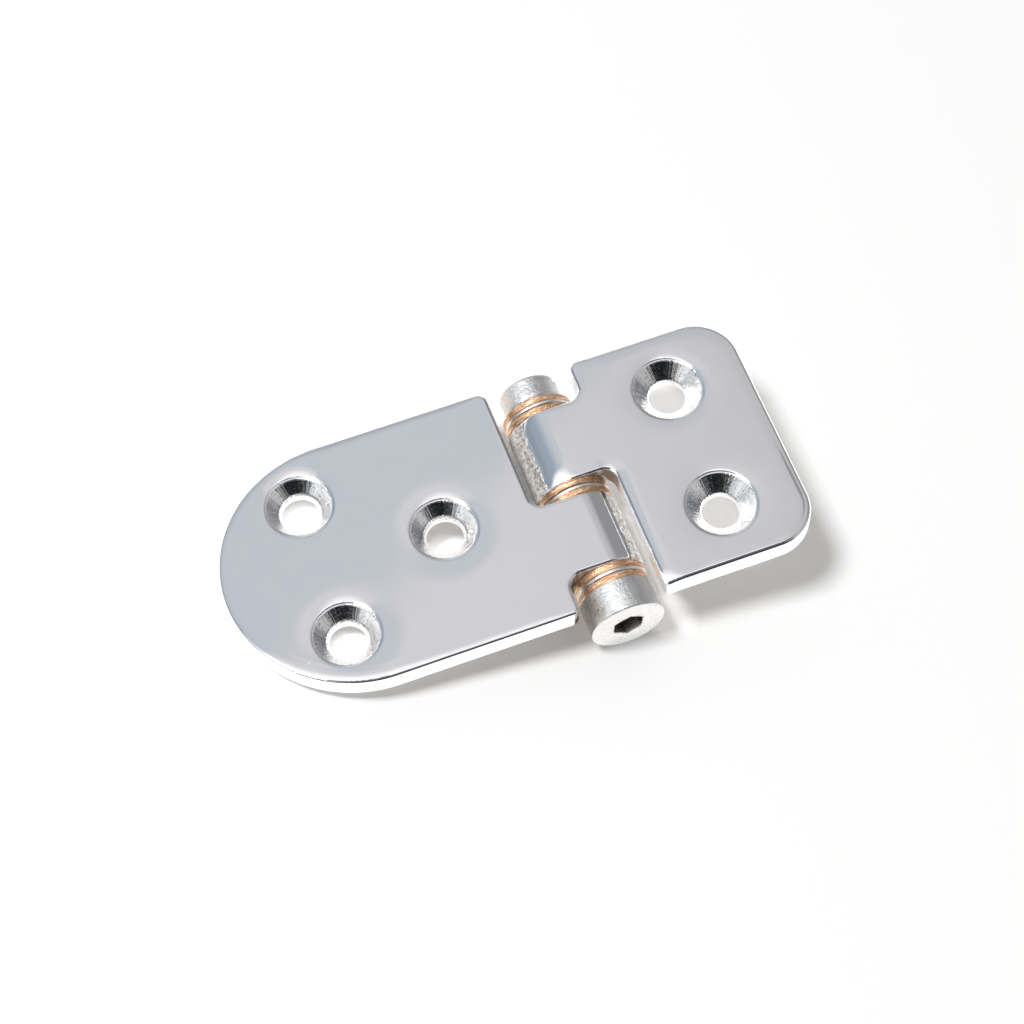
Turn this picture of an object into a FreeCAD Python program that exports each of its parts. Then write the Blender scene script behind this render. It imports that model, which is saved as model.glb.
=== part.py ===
"""Adjustable friction hinge: two cast leaves on one pivot screw, with packs of friction washers between.

Frame: millimetres. The origin is on the pivot axis, at the middle of the leaves' width. +Y runs along
the pivot towards the nut, +X towards the square leaf, and +Z out of the polished faces.
"""
import FreeCAD, Part

import math
import os

import Sketcher

SIZES = (
    # the two plates
    ("leaf_thickness", 3.4, "both cast plates"),
    ("leaf_width", 38.0, "rounded leaf, along the pivot"),
    ("rounded_reach", 51.75, "pivot axis to the tip of the half-round end"),
    ("rounded_setback", 6.97, "pivot axis to the rounded leaf's edge beside the other knuckle"),
    ("rounded_notch", 6.45, "pivot axis to the rounded leaf's edge beside the screw head"),
    ("rounded_notch_length", 5.85, "that edge, from the leaf's side to the knuckle"),
    ("rounded_near_corner", 1.0, "corner of the rounded leaf beside the screw head"),
    ("rounded_far_corner", 1.5, "corner of the rounded leaf beside the other knuckle"),
    ("rounded_slot_corner", 1.6, "hollow corner of the rounded leaf beside the middle washers"),
    ("rounded_edge", 0.3, "polished edge of the rounded leaf's plate"),
    ("square_surplus", 0.5, "how much wider the square leaf is than the rounded one"),
    ("square_reach", 30.0, "pivot axis to the square leaf's outer edge"),
    ("square_setback", 5.85, "pivot axis to the square leaf's edge beside the other knuckle"),
    ("square_notch", 6.1, "pivot axis to the square leaf's edge beside the nut"),
    ("square_notch_length", 6.15, "that edge, from the leaf's side to the knuckle"),
    ("square_corner", 6.6, "outer corners of the square leaf"),
    ("square_near_corner", 0.7, "corner of the square leaf beside the screw head"),
    ("square_far_corner", 1.5, "corner of the square leaf beside the nut"),
    ("square_slot_corner", 1.9, "hollow corner of the square leaf beside the middle washers"),
    ("square_edge", 0.6, "polished edge of the square leaf's plate"),
    ("notch_corner", 2.4, "hollow corner of each leaf beside its outer washers"),
    ("underside_edge", 0.3, "lower edge of both plates"),
    ("web_fillet", 1.0, "under the plate, where it meets the barrel"),
    ("plate_lap", 1.8, "pivot axis to the plate's inner edge, which lies inside the barrel"),
    # the fixing holes
    ("hole_radius", 2.65, "clearance for a 5 mm countersunk screw"),
    ("countersink_angle", 90, "degrees"),
    ("rounded_sink", 4.85, "countersink radius in the rounded leaf"),
    ("square_sink", 5.15, "countersink radius in the square leaf"),
    ("outer_pair_place", 37.45, "pivot axis to the two outer holes of the rounded leaf"),
    ("outer_pair_spacing", 21.36, "between those two holes"),
    ("centre_hole_place", 19.57, "pivot axis to the single hole of the rounded leaf"),
    ("square_pair_place", 18.08, "pivot axis to the two holes of the square leaf"),
    ("square_pair_spacing", 20.08, "between those two holes"),
    # the barrel
    ("barrel_radius", 5.4, "both knuckles"),
    ("pack_offset", -0.25, "middle washer pack's centre, from the middle of the leaves"),
    ("knuckle_edge", 0.3, "rims of the knuckle ends"),
    ("facing_clearance", 0.45, "round the washers, where the knuckle ends are faced"),
    # the washer packs
    ("washer_thickness", 0.9, "bronze friction washer"),
    ("washer_radius", 5.3, "bronze friction washer"),
    ("washer_break", 0.12, "broken edge of a friction washer"),
    ("spring_height", 0.8, "disc spring, as clamped"),
    ("spring_stock", 0.5, "disc spring sheet"),
    ("spring_radius", 5.15, "disc spring"),
    ("washer_clearance", 0.1, "washer and spring bores on the shank, radial"),
    # the screw and its nut
    ("shank_radius", 2.5, "pivot screw"),
    ("shank_clearance", 0.05, "knuckle bores on the shank, radial"),
    ("head_radius", 5.45, "screw head"),
    ("head_length", 5.0, "screw head"),
    ("head_break", 0.15, "broken edge of the screw head"),
    ("socket_flats", 4.0, "hex socket across flats"),
    ("socket_depth", 2.6, "hex socket"),
    ("socket_turn", 25, "degrees that the hex socket is turned"),
    ("tip_chamfer", 0.5, "end of the screw"),
    ("nut_radius", 4.3, "round nut"),
    ("nut_length", 4.2, "round nut"),
    ("nut_seat_chamfer", 0.6, "round nut, against the washers"),
    ("nut_face_chamfer", 0.4, "round nut, outer face"),
    ("nut_slot_width", 1.4, "driver slot in the nut's face"),
    ("nut_slot_depth", 1.3, "driver slot in the nut's face"),
    ("nut_slot_turn", 20, "degrees that the slot is turned"),
    ("thread_clearance", 0.05, "nut bore on the threaded end, radial"),
    ("tip_recess", 0.2, "screw's end below the floor of the nut's slot"),
)

# Heights above the pivot axis and places along it that follow from the sizes
PLACES = (
    ("top", "=Sizes.barrel_radius"),
    ("underside", "=Sizes.barrel_radius - Sizes.leaf_thickness"),
    ("web_centre", "=sqrt((Sizes.barrel_radius + Sizes.web_fillet) ^ 2 - (underside - Sizes.web_fillet) ^ 2)"),
    ("web_share", "=Sizes.barrel_radius / (Sizes.barrel_radius + Sizes.web_fillet)"),
    ("rounded_side", "=Sizes.leaf_width / 2"),
    ("square_side", "=(Sizes.leaf_width + Sizes.square_surplus) / 2"),
    ("pack", "=2 * Sizes.washer_thickness + Sizes.spring_height"),
    ("square_near", "=Sizes.pack_offset + pack / 2"),
    ("square_far", "=square_side - Sizes.square_notch_length"),
    ("rounded_far", "=Sizes.pack_offset - pack / 2"),
    ("rounded_near", "=Sizes.rounded_notch_length - rounded_side"),
    ("head_seat", "=rounded_near - pack"),
    ("head_face", "=head_seat - Sizes.head_length"),
    ("nut_seat", "=square_far + pack"),
    ("nut_face", "=nut_seat + Sizes.nut_length"),
    ("screw_end", "=nut_face - Sizes.nut_slot_depth - Sizes.tip_recess"),
    ("knuckle_bore", "=Sizes.shank_radius + Sizes.shank_clearance"),
    ("washer_bore", "=Sizes.shank_radius + Sizes.washer_clearance"),
)

doc = FreeCAD.newDocument("friction_hinge")

sizes = doc.addObject("Spreadsheet::Sheet", "Sizes")
for row, (alias, value, meaning) in enumerate(SIZES, start=1):
    sizes.set(f"A{row}", meaning)
    sizes.set(f"B{row}", str(value))
    sizes.setAlias(f"B{row}", alias)

places = doc.addObject("Spreadsheet::Sheet", "Places")
for row, (alias, formula) in enumerate(PLACES, start=1):
    places.set(f"B{row}", formula)
    places.setAlias(f"B{row}", alias)
doc.recompute()


def value_of(formula):
    """Number that a formula of the sheets gives."""
    result = sizes.evalExpression(formula)
    return float(getattr(result, "Value", result))


def new_body(name):
    body = doc.addObject("PartDesign::Body", name)
    body.Label = name
    return body


def new_sketch(body, name, plane, lift="0"):
    """Sketch on one of the body's own origin planes, lifted along that plane's normal."""
    sketch = body.newObject("Sketcher::SketchObject", f"{body.Name}_{name}")
    base = next(item for item in body.Origin.OriginFeatures if item.Role == plane)
    sketch.AttachmentSupport = [(base, "")]
    sketch.MapMode = "FlatFace"
    sketch.setExpression("AttachmentOffset.Base.z", lift)
    return sketch


def place_point(sketch, geometry, vertex, x, y):
    """Tie one point of the sketch to two formulas, measured from the sketch's origin."""
    for kind, formula in (("DistanceX", x), ("DistanceY", y)):
        index = sketch.addConstraint(
            Sketcher.Constraint(kind, -1, 1, geometry, vertex, value_of(formula)))
        sketch.setExpression(f"Constraints[{index}]", formula)


def draw_outline(sketch, points):
    """Draw a closed outline. A point is (x, y), or (x, y, centre_x, sense) where an arc starts:
    the arc runs to the next point, anticlockwise for sense +1 and clockwise for -1."""
    ends = []
    for here, following in zip(points, points[1:] + points[:1]):
        start = FreeCAD.Vector(value_of(here[0]), value_of(here[1]), 0)
        end = FreeCAD.Vector(value_of(following[0]), value_of(following[1]), 0)
        if len(here) == 2:
            geometry = sketch.addGeometry(Part.LineSegment(start, end), False)
            ends.append((geometry, 1, 2))
            continue
        centre_x = value_of(here[2])
        chord = end - start
        middle = (start + end) * 0.5
        centre = FreeCAD.Vector(centre_x, middle.y - (centre_x - middle.x) * chord.x / chord.y, 0)
        first, last = (start, end) if here[3] > 0 else (end, start)
        turn = [math.atan2(point.y - centre.y, point.x - centre.x) for point in (first, last)]
        circle = Part.Circle(centre, FreeCAD.Vector(0, 0, 1), (start - centre).Length)
        geometry = sketch.addGeometry(Part.ArcOfCircle(circle, turn[0], turn[1]), False)
        ends.append((geometry, 1, 2) if here[3] > 0 else (geometry, 2, 1))
    for index, (geometry, first_vertex, last_vertex) in enumerate(ends):
        following, following_vertex, _ = ends[(index + 1) % len(ends)]
        sketch.addConstraint(
            Sketcher.Constraint("Coincident", geometry, last_vertex, following, following_vertex))
        place_point(sketch, geometry, first_vertex, points[index][0], points[index][1])
        if len(points[index]) > 2:
            constraint = sketch.addConstraint(
                Sketcher.Constraint("DistanceX", -1, 1, geometry, 3, value_of(points[index][2])))
            sketch.setExpression(f"Constraints[{constraint}]", points[index][2])


def draw_circle(sketch, x, y, radius):
    circle = Part.Circle(FreeCAD.Vector(value_of(x), value_of(y), 0), FreeCAD.Vector(0, 0, 1),
                         value_of(radius))
    geometry = sketch.addGeometry(circle, False)
    place_point(sketch, geometry, 3, x, y)
    constraint = sketch.addConstraint(Sketcher.Constraint("Radius", geometry, value_of(radius)))
    sketch.setExpression(f"Constraints[{constraint}]", radius)


def corner(x, y, radius, come, leave):
    """Two outline points that round a square corner. come and leave are the signs of the outline's
    direction before and after the corner: ("+x", "-y") turns from +X to -Y."""
    signs = {"+": 1, "-": -1}
    if come[1] == "x":
        before = (f"{x} - ({signs[come[0]]}) * {radius}", y)
        after = (x, f"{y} + ({signs[leave[0]]}) * {radius}")
        centre_x = before[0]
        sense = signs[come[0]] * signs[leave[0]]
    else:
        before = (x, f"{y} - ({signs[come[0]]}) * {radius}")
        after = (f"{x} + ({signs[leave[0]]}) * {radius}", y)
        centre_x = after[0]
        sense = -signs[come[0]] * signs[leave[0]]
    return [(before[0], before[1], centre_x, sense), after]


def pad(body, sketch, length):
    feature = body.newObject("PartDesign::Pad", f"{sketch.Name}_pad")
    feature.Profile = sketch
    feature.setExpression("Length", length)
    doc.recompute()
    return feature


def pocket(body, sketch, length):
    """Cut the sketch out of the body, away from the sketch plane's normal."""
    before = body.Shape.Volume
    feature = body.newObject("PartDesign::Pocket", f"{sketch.Name}_pocket")
    feature.Profile = sketch
    feature.setExpression("Length", length)
    doc.recompute()
    if feature.Shape.Volume >= before:
        raise RuntimeError(f"{feature.Name} cuts nothing")
    return feature


def round_edges(body, name, radius, wanted):
    """Fillet the edges of the body that the test picks."""
    base = body.Tip
    names = [f"Edge{number}" for number, edge in enumerate(base.Shape.Edges, start=1) if wanted(edge)]
    fillet = body.newObject("PartDesign::Fillet", f"{body.Name}_{name}")
    fillet.Base = (base, names)
    fillet.setExpression("Radius", radius)
    doc.recompute()
    return fillet


def revolve(body, name, points):
    """Solid of revolution about the pivot axis. Points are (radius, place along the axis)."""
    sketch = new_sketch(body, name, "XY_Plane")
    draw_outline(sketch, points)
    feature = body.newObject("PartDesign::Revolution", f"{sketch.Name}_turned")
    feature.Profile = sketch
    feature.ReferenceAxis = (sketch, ["V_Axis"])
    feature.Angle = 360
    doc.recompute()
    return feature


def make_plate(body, outline, top_round):
    """Flat plate of a leaf with its top and bottom edges rounded all the way round."""
    sketch = new_sketch(body, "plan", "XY_Plane", "Places.underside")
    draw_outline(sketch, outline)
    pad(body, sketch, "Sizes.leaf_thickness")
    for name, level, radius in (
            ("top_edge", "Places.top", top_round),
            ("lower_edge", "Places.underside", "Sizes.underside_edge")):
        height = value_of(level)
        round_edges(body, name, radius,
                    lambda edge: all(abs(vertex.Z - height) < 0.001 for vertex in edge.Vertexes))


def join_knuckle(leaf, side, near, far):
    """Barrel and web of a leaf, drawn as one section across the pivot and joined to the plate. The top
    runs level from the plate to the barrel's highest line. side is +1 or -1 along X."""
    body = new_body(f"{leaf.Name}_knuckle")
    sketch = new_sketch(body, "section", "XZ_Plane", f"-({far})")
    centre = f"{side} * Places.web_centre"
    inside = f"{side} * (Places.web_centre + Sizes.web_fillet)"
    draw_outline(sketch, [
        ("0", "Places.top", "0", side),
        (f"{centre} * Places.web_share", "(Places.underside - Sizes.web_fillet) * Places.web_share", centre, -side),
        (centre, "Places.underside"),
        (inside, "Places.underside"),
        (inside, "Places.top"),
    ])
    pad(body, sketch, f"{far} - {near}")
    ends = (value_of(near), value_of(far))
    round_edges(body, "rims", "Sizes.knuckle_edge",
                lambda edge: any(all(abs(vertex.Y - end) < 0.001 for vertex in edge.Vertexes) for end in ends))
    union = leaf.newObject("PartDesign::Boolean", f"{leaf.Name}_union")
    union.setObjects([body])
    union.Type = "Fuse"
    doc.recompute()


def face_knuckle(body, face, away):
    """Facing cut beside a knuckle end, which clears the plate's hollow corner away from the washers.
    away is the direction along Y in which the washers lie."""
    name, start = ("near", f"{face} - Places.pack") if away < 0 else ("far", face)
    sketch = new_sketch(body, f"facing_{name}", "XZ_Plane", f"-({start})")
    draw_circle(sketch, "0", "0", "Sizes.washer_radius + Sizes.facing_clearance")
    pocket(body, sketch, "Places.pack")


def bore_knuckle(body, near, far):
    """Pivot bore right through the knuckle."""
    sketch = new_sketch(body, "bore", "XZ_Plane", f"-({near})")
    draw_circle(sketch, "0", "0", "Places.knuckle_bore")
    pocket(body, sketch, f"{far} - {near}")


def countersink(body, radius, centres):
    """Countersunk fixing holes, drilled from the polished face."""
    sketch = new_sketch(body, "holes", "XY_Plane", "Places.top")
    for x, y in centres:
        draw_circle(sketch, x, y, "Sizes.hole_radius")
    doc.recompute()
    before = body.Shape.Volume
    hole = body.newObject("PartDesign::Hole", f"{body.Name}_countersunk")
    hole.Profile = sketch
    doc.recompute()
    hole.DepthType = "ThroughAll"
    hole.Threaded = False
    hole.setExpression("Diameter", "2 * Sizes.hole_radius")
    hole.HoleCutType = "Countersink"
    hole.HoleCutCustomValues = True
    hole.setExpression("HoleCutDiameter", f"2 * {radius}")
    hole.setExpression("HoleCutCountersinkAngle", "Sizes.countersink_angle")
    doc.recompute()
    if hole.Shape.Volume >= before:
        raise RuntimeError(f"{hole.Name} cuts nothing")


def make_rounded_leaf():
    """Fixed leaf: a plate with a half-round end, a notch beside the screw head, and the near knuckle."""
    body = new_body("rounded_leaf")
    half = "Places.rounded_side"
    end = f"-(Sizes.rounded_reach - {half})"
    inside = "-Sizes.plate_lap"
    outline = [(end, half, end, 1), (end, f"-{half}")]
    outline += corner("-Sizes.rounded_notch", f"-{half}", "Sizes.rounded_near_corner", "+x", "+y")
    outline += corner("-Sizes.rounded_notch", "Places.rounded_near", "Sizes.notch_corner", "+y", "+x")
    outline += [(inside, "Places.rounded_near"), (inside, "Places.rounded_far")]
    outline += corner("-Sizes.rounded_setback", "Places.rounded_far", "Sizes.rounded_slot_corner", "-x", "+y")
    outline += corner("-Sizes.rounded_setback", half, "Sizes.rounded_far_corner", "+y", "-x")
    make_plate(body, outline, "Sizes.rounded_edge")
    join_knuckle(body, -1, "Places.rounded_near", "Places.rounded_far")
    face_knuckle(body, "Places.rounded_near", -1)
    bore_knuckle(body, "Places.rounded_near", "Places.rounded_far")
    countersink(body, "Sizes.rounded_sink", [
        ("-Sizes.outer_pair_place", "Sizes.outer_pair_spacing / 2"),
        ("-Sizes.outer_pair_place", "-Sizes.outer_pair_spacing / 2"),
        ("-Sizes.centre_hole_place", "0"),
    ])
    return body


def make_square_leaf():
    """Moving leaf: a plate with two large outer corners, a slot for the other knuckle, a notch beside
    the nut, and the far knuckle."""
    body = new_body("square_leaf")
    half = "Places.square_side"
    inside = "Sizes.plate_lap"
    outline = corner("Sizes.square_setback", f"-{half}", "Sizes.square_near_corner", "-y", "+x")
    outline += corner("Sizes.square_reach", f"-{half}", "Sizes.square_corner", "+x", "+y")
    outline += corner("Sizes.square_reach", half, "Sizes.square_corner", "+y", "-x")
    outline += corner("Sizes.square_notch", half, "Sizes.square_far_corner", "-x", "-y")
    outline += corner("Sizes.square_notch", "Places.square_far", "Sizes.notch_corner", "-y", "-x")
    outline += [(inside, "Places.square_far"), (inside, "Places.square_near")]
    outline += corner("Sizes.square_setback", "Places.square_near", "Sizes.square_slot_corner", "+x", "-y")
    make_plate(body, outline, "Sizes.square_edge")
    join_knuckle(body, 1, "Places.square_near", "Places.square_far")
    face_knuckle(body, "Places.square_near", -1)
    face_knuckle(body, "Places.square_far", 1)
    bore_knuckle(body, "Places.square_near", "Places.square_far")
    countersink(body, "Sizes.square_sink", [
        ("Sizes.square_pair_place", "Sizes.square_pair_spacing / 2"),
        ("Sizes.square_pair_place", "-Sizes.square_pair_spacing / 2"),
    ])
    return body


def make_pivot_screw():
    """Pivot screw: cylindrical head with a hex socket, and a plain shank that ends in the nut."""
    body = new_body("pivot_screw")
    head = "Sizes.head_radius"
    shank = "Sizes.shank_radius"
    revolve(body, "profile", [
        ("0", "Places.head_face"),
        (f"{head} - Sizes.head_break", "Places.head_face"),
        (head, "Places.head_face + Sizes.head_break"),
        (head, "Places.head_seat"),
        (shank, "Places.head_seat"),
        (shank, "Places.screw_end - Sizes.tip_chamfer"),
        (f"{shank} - Sizes.tip_chamfer", "Places.screw_end"),
        ("0", "Places.screw_end"),
    ])
    sketch = new_sketch(body, "socket", "XZ_Plane", "-Places.head_face")
    across_corners = "Sizes.socket_flats / cos(30 deg) / 2"
    draw_outline(sketch, [
        (f"{across_corners} * cos(Sizes.socket_turn * 1 deg + {60 * step} deg)",
         f"{across_corners} * sin(Sizes.socket_turn * 1 deg + {60 * step} deg)")
        for step in range(6)])
    pocket(body, sketch, "Sizes.socket_depth")
    return body


def make_round_nut():
    """Round nut on the threaded end, with a driver slot across its outer face."""
    body = new_body("round_nut")
    outer = "Sizes.nut_radius"
    bore = "Sizes.shank_radius + Sizes.thread_clearance"
    revolve(body, "profile", [
        (bore, "Places.nut_seat"),
        (f"{outer} - Sizes.nut_seat_chamfer", "Places.nut_seat"),
        (outer, "Places.nut_seat + Sizes.nut_seat_chamfer"),
        (outer, "Places.nut_face - Sizes.nut_face_chamfer"),
        (f"{outer} - Sizes.nut_face_chamfer", "Places.nut_face"),
        (bore, "Places.nut_face"),
    ])
    sketch = new_sketch(body, "slot", "XZ_Plane", "-Places.nut_face + Sizes.nut_slot_depth")
    reach = f"2 * {outer}"
    side = "Sizes.nut_slot_width / 2"
    turn = "Sizes.nut_slot_turn * 1 deg"
    draw_outline(sketch, [
        (f"{along}{reach} * cos({turn}) - ({across}{side}) * sin({turn})",
         f"{along}{reach} * sin({turn}) + ({across}{side}) * cos({turn})")
        for along, across in (("-", "-"), ("", "-"), ("", ""), ("-", ""))])
    pocket(body, sketch, "Sizes.nut_slot_depth")
    return body


def make_friction_washer(name, near):
    """Bronze washer with broken edges. near is its face towards the screw head."""
    body = new_body(name)
    outer = "Sizes.washer_radius"
    edge = "Sizes.washer_break"
    far = f"{near} + Sizes.washer_thickness"
    revolve(body, "profile", [
        ("Places.washer_bore", near),
        (f"{outer} - {edge}", near),
        (outer, f"{near} + {edge}"),
        (outer, f"{far} - {edge}"),
        (f"{outer} - {edge}", far),
        ("Places.washer_bore", far),
    ])
    return body


def make_disc_spring(name, near, rim):
    """Coned disc spring. rim is "near" or "far": the side on which its outer edge bears."""
    body = new_body(name)
    rise = "(Sizes.spring_height - Sizes.spring_stock)"
    outer_place = near if rim == "near" else f"{near} + {rise}"
    inner_place = f"{near} + {rise}" if rim == "near" else near
    revolve(body, "profile", [
        ("Places.washer_bore", inner_place),
        ("Sizes.spring_radius", outer_place),
        ("Sizes.spring_radius", f"{outer_place} + Sizes.spring_stock"),
        ("Places.washer_bore", f"{inner_place} + Sizes.spring_stock"),
    ])
    return body


def make_pack(name, start, rim):
    """Washer, disc spring and washer, stacked from start towards the nut."""
    second = f"{start} + Sizes.washer_thickness"
    third = f"{second} + Sizes.spring_height"
    return [
        make_friction_washer(f"{name}_washer_near", start),
        make_disc_spring(f"{name}_disc_spring", second, rim),
        make_friction_washer(f"{name}_washer_far", third),
    ]


pieces = [make_rounded_leaf(), make_square_leaf(), make_pivot_screw(), make_round_nut()]
pieces += make_pack("head", "Places.head_seat", "far")
pieces += make_pack("middle", "Places.rounded_far", "near")
pieces += make_pack("nut", "Places.square_far", "far")
doc.recompute()

for item in doc.Objects:
    if "Invalid" in item.State or "Error" in item.State:
        raise RuntimeError(f"{item.Name} is {item.State}")
for piece in pieces:
    if piece.Shape.isNull() or not piece.Shape.isValid() or len(piece.Shape.Solids) != 1:
        raise RuntimeError(f"{piece.Label} has no single valid solid")

os.makedirs("parts", exist_ok=True)
for piece in pieces:
    piece.Shape.exportStep(f"parts/{piece.Label}.step")
    box = piece.Shape.BoundBox
    print(f"{piece.Label}: {piece.Shape.Volume:.1f} mm3, X {box.XMin:.2f} to {box.XMax:.2f}, "
          f"Y {box.YMin:.2f} to {box.YMax:.2f}, Z {box.ZMin:.2f} to {box.ZMax:.2f}")
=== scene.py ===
"""Adjustable friction hinge: two polished cast leaves, the pivot screw with its nut, and packs of bronze
washers and disc springs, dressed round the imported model. Lengths in the sections are millimetres."""
import math

import bpy
import numpy as np
from mathutils import Matrix, Vector


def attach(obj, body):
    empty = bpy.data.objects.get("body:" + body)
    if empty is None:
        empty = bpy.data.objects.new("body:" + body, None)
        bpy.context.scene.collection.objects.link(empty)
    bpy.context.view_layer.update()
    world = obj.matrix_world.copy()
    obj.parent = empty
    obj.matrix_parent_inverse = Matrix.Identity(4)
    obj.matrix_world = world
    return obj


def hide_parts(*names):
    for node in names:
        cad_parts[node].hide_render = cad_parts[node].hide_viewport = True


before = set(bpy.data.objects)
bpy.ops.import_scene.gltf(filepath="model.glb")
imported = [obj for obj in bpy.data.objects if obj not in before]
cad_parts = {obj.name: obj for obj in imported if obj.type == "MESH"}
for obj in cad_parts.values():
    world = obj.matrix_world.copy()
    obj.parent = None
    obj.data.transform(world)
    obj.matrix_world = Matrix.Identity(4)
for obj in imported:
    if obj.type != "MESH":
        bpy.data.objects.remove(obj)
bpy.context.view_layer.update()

# Rounded leaf: the fixed half, a stainless steel casting with a half-round end, three holes for countersunk
# screws, and the knuckle next to the screw's head. Its face and edges are polished by hand to a mirror and
# left plain. The barrel's flank and the underside keep the skin of the mould.

mm = 0.001
leaf_top, leaf_underside = 5.4, 2.0
lower_edge, slot_edge, knuckle_rim, cone_edge, cone_cosine = 0.3, 0.40, 0.3, 0.26, 0.7071
barrel_radius, bore_radius, facing_radius, hole_radius = 5.4, 2.55, 5.75, 2.65
web_fillet, web_centre, web_reach = 1.0, 6.321, 6.4
slot_wall, slot_end, slot_corner = 5.95, 1.05, 1.9


def new_node(tree, kind, inputs, **settings):
    """Node of a kind. inputs gives its sockets, by name or number, a value, another node's socket, or a node
    whose first output is meant."""
    node = tree.nodes.new(kind)
    for setting, value in settings.items():
        setattr(node, setting, value)
    for socket, value in inputs.items():
        if isinstance(value, bpy.types.Node):
            value = value.outputs[0]
        if isinstance(value, bpy.types.NodeSocket):
            tree.links.new(value, node.inputs[socket])
        else:
            node.inputs[socket].default_value = value
    return node


def math_node(tree, operation, *values, clamp=False):
    """Math node whose inputs are sockets or numbers."""
    inputs = dict(enumerate(values))
    return new_node(tree, "ShaderNodeMath", inputs, operation=operation, use_clamp=clamp).outputs[0]


def product_node(tree, first, *others):
    """Product of sockets and numbers."""
    for other in others:
        first = math_node(tree, "MULTIPLY", first, other)
    return first


def distance_node(tree, across, along):
    """Distance from two places at right angles."""
    both = math_node(tree, "ADD", product_node(tree, across, across), product_node(tree, along, along))
    return math_node(tree, "SQRT", both)


def parts_of(tree, vector):
    """X, Y and Z of a vector."""
    return new_node(tree, "ShaderNodeSeparateXYZ", {0: vector}).outputs


def ramp_node(tree, value, low, high, to_low=0.0, to_high=1.0):
    """Smooth step of a value from low to high."""
    inputs = {"Value": value, "From Min": low, "From Max": high, "To Min": to_low, "To Max": to_high}
    return new_node(tree, "ShaderNodeMapRange", inputs, interpolation_type="SMOOTHSTEP").outputs["Result"]


def mix_node(tree, share, first, second):
    """Colour between two colours, each a socket or a tuple."""
    first, second = ((*colour, 1.0) if isinstance(colour, tuple) else colour for colour in (first, second))
    inputs = {"Factor": share, 6: first, 7: second}
    return new_node(tree, "ShaderNodeMix", inputs, data_type="RGBA").outputs[2]


def noise_node(tree, place, scale, detail=2.0, roughness=0.5, stretch=None):
    """Noise on object coordinates. scale is in features per metre."""
    if stretch is not None:
        place = new_node(tree, "ShaderNodeMapping", {"Vector": place, "Scale": stretch})
    inputs = {"Vector": place, "Scale": scale, "Detail": detail, "Roughness": roughness}
    return new_node(tree, "ShaderNodeTexNoise", inputs).outputs["Fac"]


def empty_tree(owner):
    """Node tree of a new material or world, with nothing in it."""
    owner.use_nodes = True
    owner.node_tree.nodes.clear()
    return owner.node_tree


def new_metal(name):
    """Material with its tree, its shader and its object coordinates."""
    material = bpy.data.materials.new(name)
    tree = empty_tree(material)
    shader = new_node(tree, "ShaderNodeBsdfPrincipled", {"Metallic": 1.0})
    new_node(tree, "ShaderNodeOutputMaterial", {"Surface": shader})
    return material, tree, shader, tree.nodes.new("ShaderNodeTexCoord").outputs["Object"]


def dress_metal(tree, shader, colour, roughness, height, depth):
    """Colour, roughness and relief on the shader. depth is in metres for a height of 1."""
    bump = new_node(tree, "ShaderNodeBump", {"Height": height, "Distance": depth, "Strength": 1.0})
    for name, output in (("Base Color", colour), ("Roughness", roughness), ("Normal", bump.outputs[0])):
        tree.links.new(output, shader.inputs[name])


def add_sockets(tree, way, kind, *names):
    """Sockets of a group of nodes."""
    for name in names:
        tree.interface.new_socket(name, in_out=way, socket_type=kind)


def make_mould_skin():
    """Group of nodes: grains and pits of a sand-fine casting, as a height and a mask of its dark pits."""
    group = bpy.data.node_groups.new("mould_skin", "ShaderNodeTree")
    add_sockets(group, "INPUT", "NodeSocketVector", "Place")
    add_sockets(group, "INPUT", "NodeSocketFloat", "Grains per metre")
    add_sockets(group, "OUTPUT", "NodeSocketFloat", "Height", "Pits")
    place, fine = group.nodes.new("NodeGroupInput").outputs[:2]
    grains = noise_node(group, place, fine, 3.0, 0.65)
    lumps = noise_node(group, place, product_node(group, fine, 0.28), 2.0, 0.5)
    height = math_node(group, "MULTIPLY_ADD", lumps, 0.8, grains)
    new_node(group, "NodeGroupOutput", {"Height": height, "Pits": ramp_node(group, grains, 0.50, 0.34)})
    return group


mould_skin = make_mould_skin()


def skin_node(tree, place, grains_per_metre):
    """The mould skin's height and pits in a material."""
    inputs = {"Place": place, "Grains per metre": grains_per_metre}
    return new_node(tree, "ShaderNodeGroup", inputs, node_tree=mould_skin).outputs


def near_holes(tree, x, y, holes):
    """Distance in plan from the nearest hole's middle, and a direction from it that differs by hole."""
    nearest, ways = 1.0, [0.0, 0.0, 0.0]
    for number, (hole_x, hole_y, _) in enumerate(holes):
        across = math_node(tree, "SUBTRACT", x, hole_x * mm)
        along = math_node(tree, "SUBTRACT", y, hole_y * mm)
        reach = distance_node(tree, across, along)
        nearest = math_node(tree, "MINIMUM", reach, nearest)
        here = math_node(tree, "DIVIDE", math_node(tree, "LESS_THAN", reach, 6.0 * mm), reach)
        for axis, part in enumerate((across, along, product_node(tree, reach, 4.0 * number))):
            ways[axis] = math_node(tree, "MULTIPLY_ADD", here, part, ways[axis])
    return nearest, new_node(tree, "ShaderNodeCombineXYZ", dict(enumerate(ways))).outputs[0]


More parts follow.
